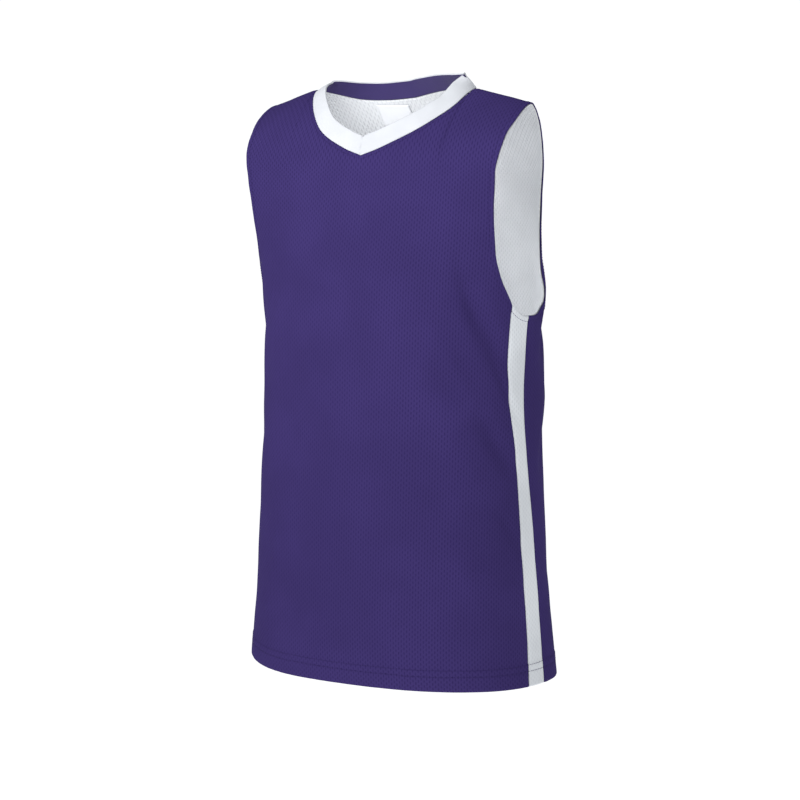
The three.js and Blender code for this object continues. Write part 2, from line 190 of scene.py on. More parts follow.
# Smaller creases: troughs, and ridges where the depth is negative
CREASES = table(
    "turn height to_turn to_height width depth",
    (38, -150, 60, -262, 8, 1.6),
    (30, -232, 58, -330, 9, -1.3),
    (62, -262, 84, -352, 6, 1.8),
    (20, -300, 44, -372, 11, 1.0),
    (64, -420, 86, -486, 8, 1.5),
    (40, -470, 66, -560, 12, -1.2),
    (12, -420, 22, -560, 14, 0.9),
    (-12, -330, -20, -520, 15, 0.9),
    (-30, -180, -50, -262, 9, 1.1),
    (-40, -282, -66, -372, 9, 1.2),
    (-24, -440, -40, -560, 13, -1.0),
    (-62, -440, -84, -520, 9, 1.3),
    (8, -90, 34, -128, 12, 0.8),
    (-6, -96, -36, -140, 13, 0.8),
    (142, -168, 118, -262, 8, 1.5),
    (134, -262, 108, -366, 9, -1.2),
    (150, -120, 172, -232, 15, 1.2),
    (-146, -180, -120, -270, 9, 1.4),
    (-136, -290, -112, -392, 8, -1.1),
    (-156, -132, -170, -250, 14, 1.1),
    (166, -300, 158, -460, 16, 1.3),
    (-160, -330, -172, -520, 17, 1.2),
    (128, -440, 108, -540, 12, 1.5),
    (-124, -450, -106, -556, 12, 1.4),
    (178, -60, 168, -150, 14, 1.1),
    (112, -172, 102, -246, 5, -3.2),
)

# Length on the cloth of a degree of turn, and of a place's turn in radians and height. A panel
# whose middle turn is past BACK_FROM lies at the back.
MM_PER_DEGREE = 2.6
MM_PER_PLACE = np.array([math.degrees(1) * MM_PER_DEGREE, 1])
BACK_FROM = math.pi / 2 + 0.5

# Slow swells and short ripples of the cloth
SWELL_LENGTH = 70.0
SWELL_HEIGHT = 1.1
RIPPLE_LENGTH = 24.0
RIPPLE_HEIGHT = 0.28

# Turned edges and seams
HEM_TURN = 25.0
HEM_STITCHES = (23.0, 16.0)
HEM_RAISE = 0.55
ARMHOLE_TURN = 7.5
ARMHOLE_STITCHES = 6.2
ARMHOLE_RAISE = 0.45
NECK_STITCHES = 4.0
STEP_SOFTNESS = 1.4
SEAM_DIP = 0.8
SEAM_DIP_WIDTH = 1.7
STITCH_DIP = 0.3
STITCH_DIP_WIDTH = 1.0
EDGE_ROLL = 0.5
EDGE_ROLL_WIDTH = 0.8

# Puckers of the sewn places: how far they reach from the hem and the armholes, and their
# strength, distance and width beside the neck and the other seams
PUCKER_HEIGHT = 0.35
PUCKER_LENGTH = 6.5
PUCKER_SQUEEZE = 0.45
HEM_PUCKERS = 32.5
ARMHOLE_PUCKERS = 11.25
NECK_PUCKERS = (0.6, 3, 4)
SEAM_PUCKERS = (0.5, 4, 5)

# Grids of the panels and the collar: steps and lengths in millimetres, and numbers of cells.
# Sheets share the points that round to the same place, at so many steps to a millimetre.
FINE_STEP = 1.3
PLAIN_STEP = 3.4
LINING_STEP = 4.6
EDGE_ZONE = 11.0
HALF_GIRTH = 240.0
ARMHOLE_LENGTH = 230.0
NECK_SHARE = 2 / 3
LEAN_START = 0.55
STRIP_CELLS = 14
BAND_CELLS = 12
BAND_STEP = 2.4
EDGE_LINE_STEP = 2.0
DOT_STEP = 0.5
CURVE_CELLS = 40
MERGE_PER_MM = 50
GIRTH_ROWS = 120
GIRTH_TURNS = 241

# Stitches: the girth of the thread, as a share of its radius, and its height over the cloth, by
# share of a stitch's length
STITCH_PITCH = 3.3
STITCH_LENGTH = 2.7
STITCH_RADIUS = 0.24
STITCH_SIDES = 6
STITCH_FORM = table(
    "share girth height",
    (0, 0.35, -0.3),
    (0.08, 0.8, 0),
    (0.3, 1, 0.16),
    (0.5, 1, 0.2),
    (0.7, 1, 0.16),
    (0.92, 0.8, 0),
    (1, 0.35, -0.3),
)
STITCH_SEARCH = 2.0
HEM_ROW_DEGREES = 0.4
BELOW_ARMHOLE = 60.0

# Closed-hole mesh knit: pitch across and along, half sizes of a dimple, where its slope starts and
# ends by the square of its radius, and the fine wales and courses
DIMPLE_PITCH = (3.0, 5.2)
DIMPLE_SIZE = (0.6, 1.8)
DIMPLE_SLOPE = (0.25, 1.3)
MESH_WALE = 0.9
MESH_COURSE = 0.75
MESH_WALE_HEIGHT = 0.06

# Knit of the neck bands, ribs of the label's tape, and bumps of the tape and the thread
BAND_WALE = 1.1
BAND_COURSE = 0.88
BAND_KNIT_DEPTH = 0.05
TAPE_RIB = 0.5
TAPE_DEPTH = 0.05
THREAD_DEPTH = 0.08

# Colours given in display values from 0 to 255. A hollow is the bottom of a dimple.
# The hollow colours are painted shade: the bottoms of the dimples are drawn darker in place of the shade
# that falls in them.
OUTER_PURPLE = (61, 50, 104)
OUTER_HOLLOW_SHADE = (44, 34, 84)
SIDE_WHITE = (223, 227, 232)
SIDE_HOLLOW_SHADE = (202, 206, 213)
INNER_WHITE = (218, 220, 223)
INNER_HOLLOW_SHADE = (196, 199, 204)
COLLAR_WHITE = (224, 227, 233)
INNER_COLLAR_PURPLE = (52, 40, 95)
LABEL_WHITE = (233, 235, 239)
THREAD_PURPLE = (56, 43, 104)

# Studio: an even pale room that the camera sees as white, a white floor lit from within, a soft
# key lamp in front and above, and two small fills inside the jersey. Each lamp has its power in
# watts, its place and size in metres, and its turn in degrees.
ROOM_COLOUR = (0.98, 0.99, 1.0, 1)
ROOM_LIGHT = 0.45
BACKDROP_LIGHT = 1.05
LAMPS = {
    "key": (7.4, (-0.10, -0.9, 0.41), (0.8, 0.6), (56, 0, -6)),
    "neck_fill": (0.041, (-0.03, -0.03, -0.04), (0.10, 0.05), (90, 0, -5)),
    "armhole_fill": (0.16, (-0.02, 0.0, -0.23), (0.06, 0.12), (90, 0, -105)),
}
FLOOR_WHITE = (0.93, 0.93, 0.93, 1)
FLOOR_GLOW = 0.62
FLOOR_REACH = 30.0
FLOOR_CLEARANCE = 0.36

# Camera: its distance and height in metres, and its lens and sensor in millimetres
CAMERA_AZIMUTH = math.radians(32.977)
CAMERA_TIP = math.radians(5.618)
CAMERA_DISTANCE = 2.6697
CAMERA_HEIGHT = -0.066
CAMERA_LENS = 110.7
CAMERA_SENSOR = 36.0


def smooth(value):
    """A soft step from 0 to 1."""
    v = np.clip(value, 0, 1)
    return v * v * (3 - 2 * v)


def mix(one, other, share):
    """One at a share of 0, the other at 1."""
    return one + (other - one) * share


def unit(vectors):
    """Vectors of length 1."""
    return vectors / np.maximum(np.linalg.norm(vectors, axis=-1, keepdims=True), 1e-9)


def read(rows, key, column, at):
    """Reads one column of a table along a smooth curve through its rows."""
    keys, values = rows[key], rows[column]
    if keys[-1] < keys[0]:
        keys, values = keys[::-1], values[::-1]
    index = np.arange(len(keys))
    before, after = np.maximum(index - 1, 0), np.minimum(index + 1, len(keys) - 1)
    slopes = (values[after] - values[before]) / (keys[after] - keys[before])
    low = np.clip(np.searchsorted(keys, at, side="right") - 1, 0, len(keys) - 2)
    span = keys[low + 1] - keys[low]
    f = np.clip((at - keys[low]) / span, 0, 1)
    f2, f3 = f**2, f**3
    return (
        (2 * f3 - 3 * f2 + 1) * values[low]
        + (f3 - 2 * f2 + f) * span * slopes[low]
        + (3 * f2 - 2 * f3) * values[low + 1]
        + (f3 - f2) * span * slopes[low + 1]
    )


def body(column, faces_front, height):
    """A half width or a face of the body's sections, front or back by place."""
    front, back = ("front_width", "back_width") if column == "width" else ("front", "back")
    at_front = read(BODY, "height", front, height)
    at_back = read(BODY, "height", back, height)
    return np.where(faces_front, at_front, at_back)


def ridge(x):
    """Y and Z of the shoulder ridge above a half width, rounded over the middle of the neck."""
    aside = np.abs(x)
    rounded = (aside**2 + NECK_ROUNDING**2) / (2 * NECK_ROUNDING)
    reach = np.where(aside < NECK_ROUNDING, rounded, aside)
    f = (reach - NECK_POINT[0]) / (STRAP_TIP[0] - NECK_POINT[0])
    return mix(NECK_POINT[1], STRAP_TIP[1], smooth(f)), mix(NECK_POINT[2], STRAP_TIP[2], f)


def plain_point(turn, height):
    """The plain body at turns and heights. Above the chest the height runs on over the shoulder."""
    sine, cosine = np.sin(turn), np.cos(turn)
    h = np.minimum(height, SHOULDER_TOP)
    faces_front = cosine >= 0
    side = read(BODY, "height", "side", h)
    x = np.sign(sine) * body("width", faces_front, h) * np.abs(sine) ** (2 / SECTION_FULLNESS)
    y = side + (body("face", faces_front, h) - side) * np.abs(cosine) ** (2 / SECTION_FULLNESS)
    aside = np.clip(-x / STRAP_TIP[0], 0, 1)
    x = x + NECK_SWAY * np.sin(np.pi * aside) * smooth((h - CHEST_TOP) / SHOULDER_REACH)
    down = (CHEST_TOP - h) / (CHEST_TOP - HEM_HEIGHT)
    lift = HEM_LIFT * np.maximum(0, -sine) ** HEM_LIFT_SPREAD * down
    rise = np.clip((h - CHEST_TOP) / SHOULDER_REACH, 0, math.pi / 2)
    up = np.sin(rise) ** (2 / SHOULDER_FULLNESS)
    out = np.maximum(np.cos(rise), 0) ** (2 / SHOULDER_FULLNESS)
    top_y, top_z = ridge(x)
    below = h <= CHEST_TOP
    y = np.where(below, y, mix(top_y, y, out))
    z = np.where(below, h + lift, mix(CHEST_TOP, top_z, up))
    return np.stack([x, y, z], axis=-1)


def normal_of(form, turn, height):
    """Outward normals of a form given as a function of turn and height."""
    turn_step, height_step = 0.004, 0.5
    across = form(turn + turn_step, height) - form(turn - turn_step, height)
    up = form(turn, height + height_step) - form(turn, height - height_step)
    return unit(np.cross(across, up))


def fold_depth(turn, height, folds):
    """How far folds push the cloth in: soft troughs that fade at both ends."""
    depth = np.zeros(np.shape(turn))
    degrees = (np.degrees(turn) + 180) % 360 - 180
    for start_turn, start, end_turn, end, width, deepest in zip(*folds.values()):
        run = np.array([(end_turn - start_turn) * MM_PER_DEGREE, end - start])
        aside_turn = (degrees - start_turn + 180) % 360 - 180
        place = np.stack([aside_turn * MM_PER_DEGREE, height - start], axis=-1)
        along = place @ run / (run @ run)
        aside = (place[..., 0] * run[1] - place[..., 1] * run[0]) / np.linalg.norm(run)
        fade = np.where((along > 0) & (along < 1), np.sin(np.pi * np.clip(along, 0, 1)), 0)
        depth += deepest * fade * np.exp(-((aside / width) ** 2))
    return depth


def swell(points, length):
    """Smooth unevenness of the cloth, from -1 to 1, with swells of about a length."""
    flat = points.reshape(-1, 3) / length
    return np.array([noise.noise(Vector(p)) for p in flat]).reshape(points.shape[:-1])


def cloth_point(turn, height):
    """The outer face of the cloth with its large folds, as in the solids."""
    plain = plain_point(turn, height)
    return plain - normal_of(plain_point, turn, height) * fold_depth(turn, height, FOLDS)[..., None]


def draped_point(turn, height):
    """The outer face of the cloth with all its folds, creases and slow swells."""
    plain = plain_point(turn, height)
    depth = fold_depth(turn, height, FOLDS) + fold_depth(turn, height, CREASES)
    depth -= SWELL_HEIGHT * swell(plain, SWELL_LENGTH) + RIPPLE_HEIGHT * swell(plain, RIPPLE_LENGTH)
    return plain - normal_of(plain_point, turn, height) * depth[..., None]


def place_of(x, z, faces_front):
    """Turn and height of places given by half width and height above the origin."""
    share = np.clip((z - CHEST_TOP) / (ridge(x)[1] - CHEST_TOP), 0, 1)
    over = CHEST_TOP + SHOULDER_REACH * np.arcsin(share ** (SHOULDER_FULLNESS / 2))
    height = np.where(z <= CHEST_TOP, z, over)
    width = body("width", faces_front, height)
    turn = np.sign(x) * np.arcsin(np.minimum(1, (np.abs(x) / width) ** (SECTION_FULLNESS / 2)))
    return np.stack([turn if faces_front else np.pi - turn, height], axis=-1)


def side_seam(column, height):
    """Turn and height along a side seam, which its table gives by Y."""
    y = read(SIDE_SEAMS, "height", column, height)
    side = read(BODY, "height", "side", height)
    face = body("face", y < side, height)
    angle = np.arccos(np.abs((y - side) / (face - side)) ** (SECTION_FULLNESS / 2))
    return np.stack([np.where(y < side, angle, np.pi - angle), height], axis=-1)


def curve_steps(places, shares):
    """Places at shares of the length of a smooth curve through a few places."""
    knots = np.array(places) * MM_PER_PLACE
    padded = np.vstack([knots[:1], knots, knots[-1:]])
    dense = []
    for one, two, three, four in zip(padded, padded[1:], padded[2:], padded[3:]):
        t = np.linspace(0, 1, CURVE_CELLS, endpoint=False)[:, None]
        start, end = (three - one) / 2, (four - two) / 2
        bend = 2 * two - 2 * three + start + end
        turn_in = 3 * three - 3 * two - 2 * start - end
        dense.append(bend * t**3 + turn_in * t**2 + start * t + two)
    dense = np.vstack([*dense, knots[-1:]])
    gone = lengths_along(dense)
    return along_line(dense, gone, shares * gone[-1]) / MM_PER_PLACE


def lengths_along(points):
    """Length of a line from its first point to each of its points."""
    return np.r_[0, np.cumsum(np.linalg.norm(np.diff(points, axis=0), axis=1))]


def along_line(points, gone, at):
    """Points of a line at lengths along it, from the lengths at its own points."""
    return np.stack([np.interp(at, gone, points[:, i]) for i in range(points.shape[1])], axis=-1)


def graded(length, step, fine_start=0):
    """Shares from 0 to 1 along a length, with fine steps at its end, and over a stretch at its start."""
    middle_end = length - EDGE_ZONE
    cells = max(2, round((middle_end - fine_start) / step))
    start = np.arange(0, fine_start, FINE_STEP)
    middle = np.linspace(fine_start, middle_end, cells + 1)
    end = np.linspace(middle_end, length, round(EDGE_ZONE / FINE_STEP) + 1)
    return np.r_[start, middle, end[1:]] / length


class Grid:
    """Shares of a panel's rows up the side seam and up the armhole, and of its columns."""

    def __init__(self, step):
        neck_length = HALF_GIRTH * NECK_SHARE
        strap = graded(HALF_GIRTH * (1 - NECK_SHARE), step)
        self.seam = graded(FRONT_CORNER - HEM_HEIGHT, step, HEM_TURN + EDGE_ZONE / 2)
        self.armhole = graded(ARMHOLE_LENGTH, step)
        self.columns = np.r_[
            np.linspace(0, NECK_SHARE, round(neck_length / step) + 1),
            NECK_SHARE + (1 - NECK_SHARE) * strap[1:],
        ]


def panel_side(faces_front, grid):
    """The edge of a panel at the wearer's left: up the side seam, then round the armhole."""
    corner = FRONT_CORNER if faces_front else ARMHOLE_BOTTOM
    column = "to_front" if faces_front else "to_back"
    seam = side_seam(column, mix(HEM_HEIGHT, corner, grid.seam))
    knots = [seam[-1]]
    if faces_front:
        leg = zip(FRONT_LEG["x"][::-1], FRONT_LEG["z"][::-1])
    else:
        leg = zip(BACK_LEG["x"], BACK_LEG["z"])
        knots += [(math.radians(t), height) for t, height in zip(*BACK_UNDERARM.values())]
    knots += [place_of(x, z, faces_front) for x, z in leg]
    knots.append(place_of(STRAP_TIP[0], STRAP_TIP[2], faces_front))
    return seam, curve_steps(knots, grid.armhole)


def panel_top(faces_front, columns, side):
    """The top edge of half a panel: the neckline from the middle, then the shoulder seam."""
    neck = FRONT_NECK if faces_front else BACK_NECK
    x = np.where(
        columns < NECK_SHARE,
        NECK_POINT[0] * columns / NECK_SHARE,
        mix(NECK_POINT[0], STRAP_TIP[0], (columns - NECK_SHARE) / (1 - NECK_SHARE)),
    )
    z = np.where(columns < NECK_SHARE, read(neck, "x", side, x), ridge(x)[1])
    return place_of(x, z, faces_front)


def half_panel(faces_front, grid, half):
    """Half a panel as rows of turns and heights, filled in between its four edges."""
    seam, armhole = panel_side(faces_front, grid)
    side = np.vstack([seam, armhole[1:]])
    top = panel_top(faces_front, grid.columns, half)
    climb = lengths_along(side * MM_PER_PLACE)
    up = (climb / climb[-1])[:, None, None]
    middle_turn = np.full(len(side), 0.0 if faces_front else np.pi)
    middle_height = mix(HEM_HEIGHT, top[0, 1], up[:, 0, 0])
    middle = np.stack([middle_turn, middle_height], axis=-1)[:, None]
    f = grid.columns[None, :, None]
    lean = top - mix(top[0], top[-1], grid.columns[:, None])
    return mix(middle, side[:, None], f) + lean[None] * smooth((up - LEAN_START) / (1 - LEAN_START))


def whole_panel(faces_front, grid):
    """A whole panel, from its edge at the left as seen from outside to its edge at the right."""
    left = half_panel(faces_front, grid, "left")
    right = half_panel(faces_front, grid, "right")[:, 1:] * np.array([-1, 1])
    if faces_front:
        return np.concatenate([right[:, ::-1], left], axis=1)
    return np.concatenate([left[:, ::-1], right], axis=1)


def side_panel(towards_left, grid):
    """A side panel as rows of turns and heights, from its left edge as seen from outside."""
    front, back = [panel_side(faces_front, grid)[0][:, None] for faces_front in (True, False)]
    share = np.linspace(0, 1, STRIP_CELLS + 1)[None, :, None]
    places = mix(front, back, share)
    sag = ARMHOLE_SAG * smooth(1 - (1 - grid.seam) / SAG_SHARE)[:, None]
    places[..., 1] -= 4 * sag * (share * (1 - share))[..., 0]
    return places if towards_left else (places * np.array([-1, 1]))[:, ::-1]


def surface(places):
    """The outer face of the draped cloth at places, each a turn and a height."""
    return draped_point(places[..., 0], places[..., 1])


class Nearest:
    """Distance from places to a set of lines, closely dotted."""

    def __init__(self, *lines):
        dots = []
        for line in lines:
            gone = lengths_along(line)
            dots.append(along_line(line, gone, np.arange(0, gone[-1], DOT_STEP)))
        dots = np.vstack(dots)
        self.tree = KDTree(len(dots))
        for i, dot in enumerate(dots):
            self.tree.insert(dot, i)
        self.tree.balance()

    def distance(self, points):
        flat = points.reshape(-1, 3)
        return np.array([self.tree.find(p)[2] for p in flat]).reshape(points.shape[:-1])


def edge_lines():
    """The seams and the free edges of the outer layer as lines in space."""
    grid = Grid(EDGE_LINE_STEP)
    lines = {"seams": [], "armholes": [], "shoulders": [], "neck": []}
    for faces_front in (True, False):
        seam, armhole = panel_side(faces_front, grid)
        for side, half in ((1, "left"), (-1, "right")):
            top = panel_top(faces_front, grid.columns, half)
            neck, strap = top[grid.columns <= NECK_SHARE], top[grid.columns >= NECK_SHARE]
            flip = np.array([side, 1])
            lines["seams"].append(surface(seam * flip))
            lines["armholes"].append(surface(armhole * flip))
            lines["neck"].append(surface(neck * flip))
            if faces_front:
                lines["shoulders"].append(surface(strap * flip))
    for towards_left in (True, False):
        lines["armholes"].append(surface(side_panel(towards_left, grid)[-1]))
    return lines


def band(distance, at, width):
    """A soft bump along a line at a distance."""
    return np.exp(-(((distance - at) / width) ** 2))


def relief(points, heights, near):
    """How far the hems, seams and stitch rows of the outer layer stand out at each place."""
    hem = heights - HEM_HEIGHT
    armhole = near["armholes"].distance(points)
    neck = near["neck"].distance(points)
    seam = np.minimum(near["seams"].distance(points), near["shoulders"].distance(points))
    out = HEM_RAISE * (1 - smooth((hem - HEM_TURN + STEP_SOFTNESS) / STEP_SOFTNESS))
    out += ARMHOLE_RAISE * (1 - smooth((armhole - ARMHOLE_TURN + STEP_SOFTNESS) / STEP_SOFTNESS))
    for row in HEM_STITCHES:
        out -= STITCH_DIP * band(hem, row, STITCH_DIP_WIDTH)
    out -= STITCH_DIP * band(armhole, ARMHOLE_STITCHES, STITCH_DIP_WIDTH)
    out -= STITCH_DIP * band(neck, NECK_STITCHES, STITCH_DIP_WIDTH)
    out -= SEAM_DIP * (band(seam, 0, SEAM_DIP_WIDTH) + band(neck, 0, SEAM_DIP_WIDTH))
    out -= EDGE_ROLL * (band(hem, 0, EDGE_ROLL_WIDTH) + band(armhole, 0, EDGE_ROLL_WIDTH))
    sewn = 1 - smooth(np.minimum(hem / HEM_PUCKERS, armhole / ARMHOLE_PUCKERS))
    for distance, (strength, at, width) in ((neck, NECK_PUCKERS), (seam, SEAM_PUCKERS)):
        sewn += strength * band(distance, at, width)
    squeezed = points * np.array([1, 1, PUCKER_SQUEEZE])
    return out + PUCKER_HEIGHT * sewn * swell(squeezed, PUCKER_LENGTH)


@functools.cache
def girth_chart():
    """Lengths round the plain body from the middle of the front, by height and turn."""
    heights = np.linspace(HEM_HEIGHT, SHOULDER_TOP, GIRTH_ROWS)
    turns = np.linspace(0, np.pi, GIRTH_TURNS)
    points = plain_point(*np.meshgrid(turns, heights))
    steps = np.linalg.norm(np.diff(points, axis=1), axis=2)
    return np.concatenate([np.zeros((GIRTH_ROWS, 1)), np.cumsum(steps, axis=1)], axis=1)


def grain(places):
    """Cloth coordinates in millimetres: round the body from the middle of the panel, and up."""
    chart = girth_chart()
    just_inside = 1.001
    turn, height = places[..., 0], places[..., 1]
    wrapped = (turn + np.pi) % (2 * np.pi) - np.pi
    rise = np.clip((height - HEM_HEIGHT) / (SHOULDER_TOP - HEM_HEIGHT), 0, 1)
    row = rise * (GIRTH_ROWS - just_inside)
    column = np.clip(np.abs(wrapped) / np.pi, 0, 1) * (GIRTH_TURNS - just_inside)
    r, c = row.astype(int), column.astype(int)
    low = mix(chart[r, c], chart[r, c + 1], column - c)
    high = mix(chart[r + 1, c], chart[r + 1, c + 1], column - c)
    whole = mix(chart[r, -1], chart[r + 1, -1], row - r)
    behind = np.abs(wrapped).mean() > BACK_FROM
    gone = mix(low, high, row - r) - (whole if behind else 0)
    return np.stack([np.sign(wrapped) * gone, height], axis=-1)


def quads(rows, columns, closed=False):
    """Cells of a grid, each by its four corners in turn as seen from outside."""
    index = np.arange(rows * columns).reshape(rows, columns)
    if closed:
        index = np.concatenate([index, index[:, :1]], axis=1)
    low, high = index[:-1], index[1:]
    corners = [low[:, :-1], low[:, 1:], high[:, 1:], high[:, :-1]]
    return np.stack(corners, axis=-1).reshape(-1, 4)


def joined(sheets):
    """Sheets (points, cells, grain) as one, with their points merged where they meet."""
    points, cells, cloth, seen = [], [], [], {}
    for sheet_points, sheet_cells, sheet_grain in sheets:
        index = []
        for point, place in zip(sheet_points.reshape(-1, 3), sheet_grain.reshape(-1, 2)):
            key = len(points)
            if len(sheets) > 1:
                key = tuple(np.round(point * MERGE_PER_MM).astype(int))
            if key not in seen:
                seen[key] = len(points)
                points.append(point)
                cloth.append(place)
            index.append(seen[key])
        cells.append(np.array(index)[sheet_cells])
    return np.array(points), np.vstack(cells), np.array(cloth)


def shell(name, sheets, thickness, material):
    """A thin closed shell from one or more sheets, with rounded faces and sharp rims."""
    points, cells, cloth = joined(sheets)
    one, two, three, four = (points[cells[:, corner]] for corner in range(4))
    faces = np.cross(three - one, four - two)
    normals = np.zeros_like(points)
    for corner in range(4):
        np.add.at(normals, cells[:, corner], faces)
    inner = points - unit(normals) * thickness
    count = len(points)
    sides = np.stack([cells, np.roll(cells, -1, axis=1)], axis=-1).reshape(-1, 2)
    known = set(map(tuple, sides[:, ::-1].tolist()))
    free = np.array([side for side in sides.tolist() if tuple(side) not in known])
    rim = np.stack([free[:, 1], free[:, 0], free[:, 0] + count, free[:, 1] + count], axis=-1)
    everything = np.vstack([cells, cells[:, ::-1] + count, rim])
    rounded = np.arange(len(everything)) < 2 * len(cells)
    thing = mesh_object(name, np.vstack([points, inner]), everything.tolist(), rounded, material)
    add_cloth_map(thing, np.vstack([cloth, cloth]))
    return thing


def mesh_object(name, points, cells, rounded, material):
    """A mesh object from points in millimetres, with smooth shading on its rounded cells."""
    mesh = bpy.data.meshes.new(name)
    mesh.from_pydata((points * METRES).tolist(), [], cells)
    mesh.polygons.foreach_set("use_smooth", rounded)
    mesh.materials.append(material)
    mesh.update()
    thing = bpy.data.objects.new(name, mesh)
    bpy.context.scene.collection.objects.link(thing)
    return thing


def add_cloth_map(thing, cloth):
    """Stores the cloth coordinates of each point, in metres, as a UV map."""
    mesh = thing.data
    corners = np.zeros(len(mesh.loops), dtype=np.int32)
    mesh.loops.foreach_get("vertex_index", corners)
    layer = mesh.uv_layers.new(name="cloth")
    layer.data.foreach_set("uv", (cloth[corners] * METRES).astype(np.float32).ravel())


def pulled_in(points, top):
    """Draws the ends of each row in along the cloth, and the last row down if it is sewn."""
    points[:, 0] += SEAM_GAP * unit(points[:, 1] - points[:, 0])
    points[:, -1] += SEAM_GAP * unit(points[:, -2] - points[:, -1])
    if top:
        points[-1] += SEAM_GAP * unit(points[-2] - points[-1])
    return points


def outer_sheet(places, near, top=True):
    """A sheet of the outer layer, with its hems, seams and stitch rows in relief."""
    turn, height = places[..., 0], places[..., 1]
    points = surface(places)
    out = relief(points, height, near)
    points = points + normal_of(plain_point, turn, height) * out[..., None]
    return pulled_in(points, top), quads(*turn.shape), grain(places)


def inner_sheet(places):
    """A sheet of the inner layer."""
    turn, height = places[..., 0], places[..., 1]
    out = INNER_FACE - EDGE_ROLL * band(height, HEM_HEIGHT, EDGE_ROLL_WIDTH)
    points = surface(places) + normal_of(plain_point, turn, height) * out[..., None]
    return points, quads(*turn.shape), grain(places)


def outer_panels(near, grid, materials):
    """The front, the back and the two side panels of the outer layer."""
    sheets = [outer_sheet(whole_panel(faces_front, grid), near) for faces_front in (True, False)]
    front = shell("front_cloth", sheets[:1], CLOTH_THICKNESS, materials["outer"])
    back = shell("back_cloth", sheets[1:], CLOTH_THICKNESS, materials["outer"])
    strips = {}
    for side, towards_left in (("left", True), ("right", False)):
        sheet = outer_sheet(side_panel(towards_left, grid), near, top=False)
        strips[side] = shell(f"side_{side}_cloth", [sheet], CLOTH_THICKNESS, materials["side"])
    return front, back, strips


def lining_panel(name, faces_front, grid, material):
    """An inner panel covers its outer panel and half of each side panel."""
    sheets = [inner_sheet(whole_panel(faces_front, grid))]
    half = STRIP_CELLS // 2
    for towards_left in (True, False):
        strip = side_panel(towards_left, grid)
        near_start = faces_front == towards_left
        part = strip[:, :half + 1] if near_start else strip[:, half:]
        sheets.append(inner_sheet(part))
    return shell(name, sheets, CLOTH_THICKNESS, material)


def neck_loop():
    """The neck seam all round: points, outward normals, directions along it, and the collar's stand."""
    just_inside = 1 - 1e-6
    steps = round(NECK_POINT[0] / BAND_STEP)
    columns = np.linspace(0, NECK_SHARE * just_inside, steps + 1)
    x = NECK_POINT[0] * columns / NECK_SHARE
    halves, stands = {}, {}
    for side in ("left", "right"):
        front, back = [panel_top(faces_front, columns, side) for faces_front in (True, False)]
        halves[side] = np.vstack([front, back[-2::-1]])
        front, back = [read(neck, "x", side + "_stand", x) for neck in (FRONT_NECK, BACK_NECK)]
        stands[side] = np.r_[front, back[-2::-1]]
    places = np.vstack([halves["left"], halves["right"][-2:0:-1] * np.array([-1, 1])])
    stand = np.r_[stands["left"], stands["right"][-2:0:-1]]
    points = cloth_point(places[:, 0], places[:, 1])
    normals = normal_of(cloth_point, places[:, 0], places[:, 1])
    along = unit(np.roll(points, -1, axis=0) - np.roll(points, 1, axis=0))
    return points, normals, along, stand


def turned(vectors, axes, angles):
    """Vectors turned about axes that they are square to."""
    return vectors * np.cos(angles)[:, None] + np.cross(axes, vectors) * np.sin(angles)[:, None]


def collar_sheet(face, crown, full_width):
    """The collar band from its seam to its free edge, flat at the V and standing up behind."""
    points, normals, along, stand = neck_loop()
    flat_way = unit(np.cross(normals, along))
    way = turned(flat_way, along, np.radians(stand))
    out = unit(np.cross(along, way))
    mitred = way.copy()
    mitred[:, 0] *= smooth(np.abs(points[:, 0]) / MITRE_REACH)
    reach = 1 / np.sum(mitred * way, axis=1)
    at_front = points[:, 1] < NECK_POINT[1]
    mitre_dip = np.where(at_front, MITRE_DIP * band(points[:, 0], 0, MITRE_DIP_WIDTH), 0)
    gone = lengths_along(points)
    wave = WAVE_HEIGHT * swell(points + out * WAVE_OFFSET, WAVE_LENGTH)
    even = np.linspace(0, 1, BAND_CELLS + 1)
    rows, cloth = [], []
    for share in (smooth(even) + even) / 2:
        width = full_width * share
        arch = max(math.sin(math.pi * width / BAND_WIDTH), 0) ** CROWN_FULLNESS - CROWN_SEAT
        lift = face + crown * arch - mitre_dip + wave * share
        rows.append(points + mitred * (width * reach)[:, None] + out * lift[:, None])
        cloth.append(np.stack([gone, np.full(len(gone), width)], axis=-1))
    return np.array(rows), quads(len(rows), len(points), closed=True), np.array(cloth)


def collars(materials):
    """The outer neck band, and the inner one behind it."""
    sheet = collar_sheet(OUTER_FACE, BAND_CROWN, BAND_WIDTH)
    outer = shell("collar_band", [sheet], BAND_THICKNESS, materials["collar"])
    sheet = collar_sheet(INNER_FACE, -BAND_CROWN / 3, BAND_WIDTH - INNER_BAND_SHORT)
    inner = shell("collar_inner_band", [sheet], CLOTH_THICKNESS, materials["inner_collar"])
    return outer, inner


def label_piece(material):
    """The blank neck label, sewn on along its top and lying free below."""
    across = LABEL_MIDDLE + np.linspace(0.5, -0.5, LABEL_CELLS + 1)[None] * LABEL_WIDTH
    up = np.linspace(LABEL_BOTTOM, LABEL_TOP, LABEL_CELLS + 1)[:, None]
    x, z = np.broadcast_arrays(across, up)
    places = place_of(x, z, False)
    hang = (LABEL_TOP - z) / (LABEL_TOP - LABEL_BOTTOM)
    lifted = LABEL_FACE - LABEL_LIFT * smooth((hang - LABEL_SEWN) / (1 - LABEL_SEWN))
    normals = normal_of(plain_point, places[..., 0], places[..., 1])
    points = surface(places) + normals * lifted[..., None]
    cloth = np.stack([x, z], axis=-1)
    return shell("neck_label", [(points, quads(*x.shape), cloth)], LABEL_THICKNESS, material)


def face_tree(*things):
    """A search tree over the faces of some meshes, in millimetres."""
    points, faces = [], []
    for thing in things:
        start = len(points)
        points += [v.co / METRES for v in thing.data.vertices]
        faces += [[start + i for i in polygon.vertices] for polygon in thing.data.polygons]
    return BVHTree.FromPolygons(points, faces)


